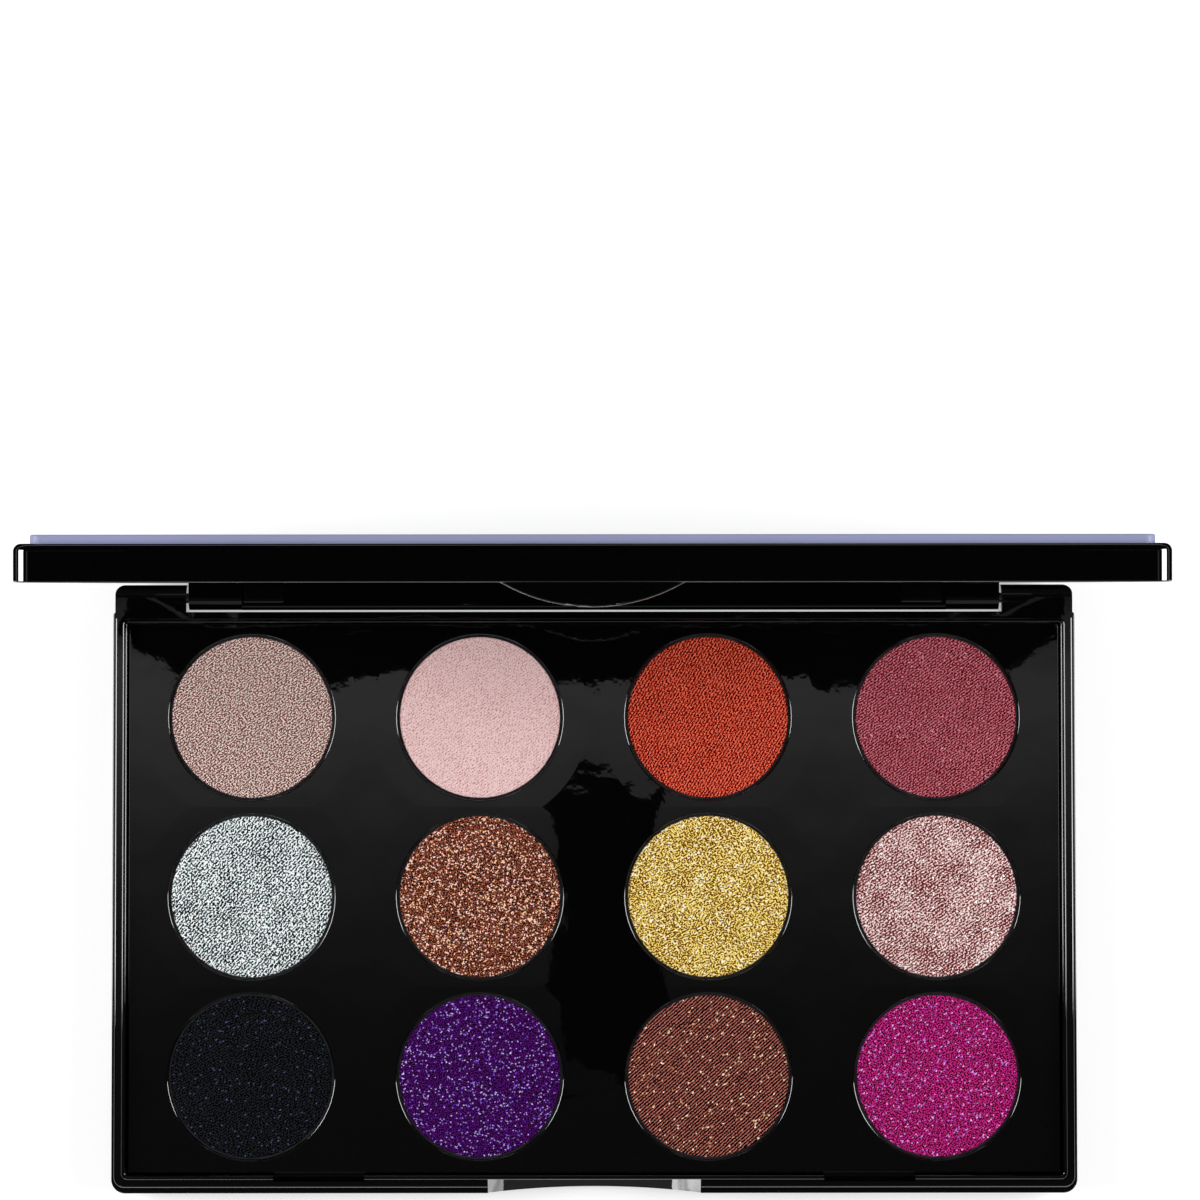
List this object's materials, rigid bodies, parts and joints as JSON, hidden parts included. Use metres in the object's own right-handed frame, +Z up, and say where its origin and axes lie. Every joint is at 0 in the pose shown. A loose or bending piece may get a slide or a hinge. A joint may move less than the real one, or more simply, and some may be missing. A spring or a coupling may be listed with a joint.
{
  "type": "eyeshadow palette",
  "caption": "Flat rectangular eyeshadow palette: round pans of pressed powder in a gloss black tray, with a mirrored lid on a rear pin hinge that snaps shut.",
  "frame": {"origin": "on the underside of the base, below the middle of the pan grid", "axes": "+X to the right along the hinge, +Y from the front edge to the hinge, +Z up"},
  "size_m": [0.152, 0.1024, 0.0998],
  "materials": {
    "base_black": "gloss",
    "tray_black": "gloss",
    "lid_black": "gloss",
    "panel_lavender": "gloss",
    "pan_black": "satin",
    "pin_steel": "satin",
    "mirror": "polished",
    "tape": "matte",
    "film": "matte",
    "glue": "matte",
    "powder_back_1": "matte",
    "powder_back_2": "matte",
    "powder_back_3": "matte",
    "powder_back_4": "matte",
    "powder_middle_1": "matte",
    "powder_middle_2": "matte",
    "powder_middle_3": "matte",
    "powder_middle_4": "matte",
    "powder_front_1": "matte",
    "powder_front_2": "matte",
    "powder_front_3": "matte",
    "powder_front_4": "matte"
  },
  "bodies": {
    "base": {"base_shell": "base_black", "pan_tray": "tray_black", "pan_adhesive": "glue", "hinge_pin_left": "pin_steel", "hinge_pin_right": "pin_steel", "pan_back_1": "pan_black", "pan_back_2": "pan_black", "pan_back_3": "pan_black", "pan_back_4": "pan_black", "pan_middle_1": "pan_black", "pan_middle_2": "pan_black", "pan_middle_3": "pan_black", "pan_middle_4": "pan_black", "pan_front_1": "pan_black", "pan_front_2": "pan_black", "pan_front_3": "pan_black", "pan_front_4": "pan_black", "powder_back_1": "powder_back_1", "powder_back_2": "powder_back_2", "powder_back_3": "powder_back_3", "powder_back_4": "powder_back_4", "powder_middle_1": "powder_middle_1", "powder_middle_2": "powder_middle_2", "powder_middle_3": "powder_middle_3", "powder_middle_4": "powder_middle_4", "powder_front_1": "powder_front_1", "powder_front_2": "powder_front_2", "powder_front_3": "powder_front_3", "powder_front_4": "powder_front_4"},
    "lid": {"lid_shell": "lid_black", "lid_panel": "panel_lavender", "panel_adhesive": "film", "mirror_glass": "mirror", "mirror_tape": "tape"}
  },
  "joints": [
    {"name": "lid_hinge", "type": "hinge", "parent": "base", "child": "lid", "pos_m": [0, 0.04715, 0.0059], "axis": [-1, 0, 0], "range_deg": [-87.9, 32.1]}
  ]
}
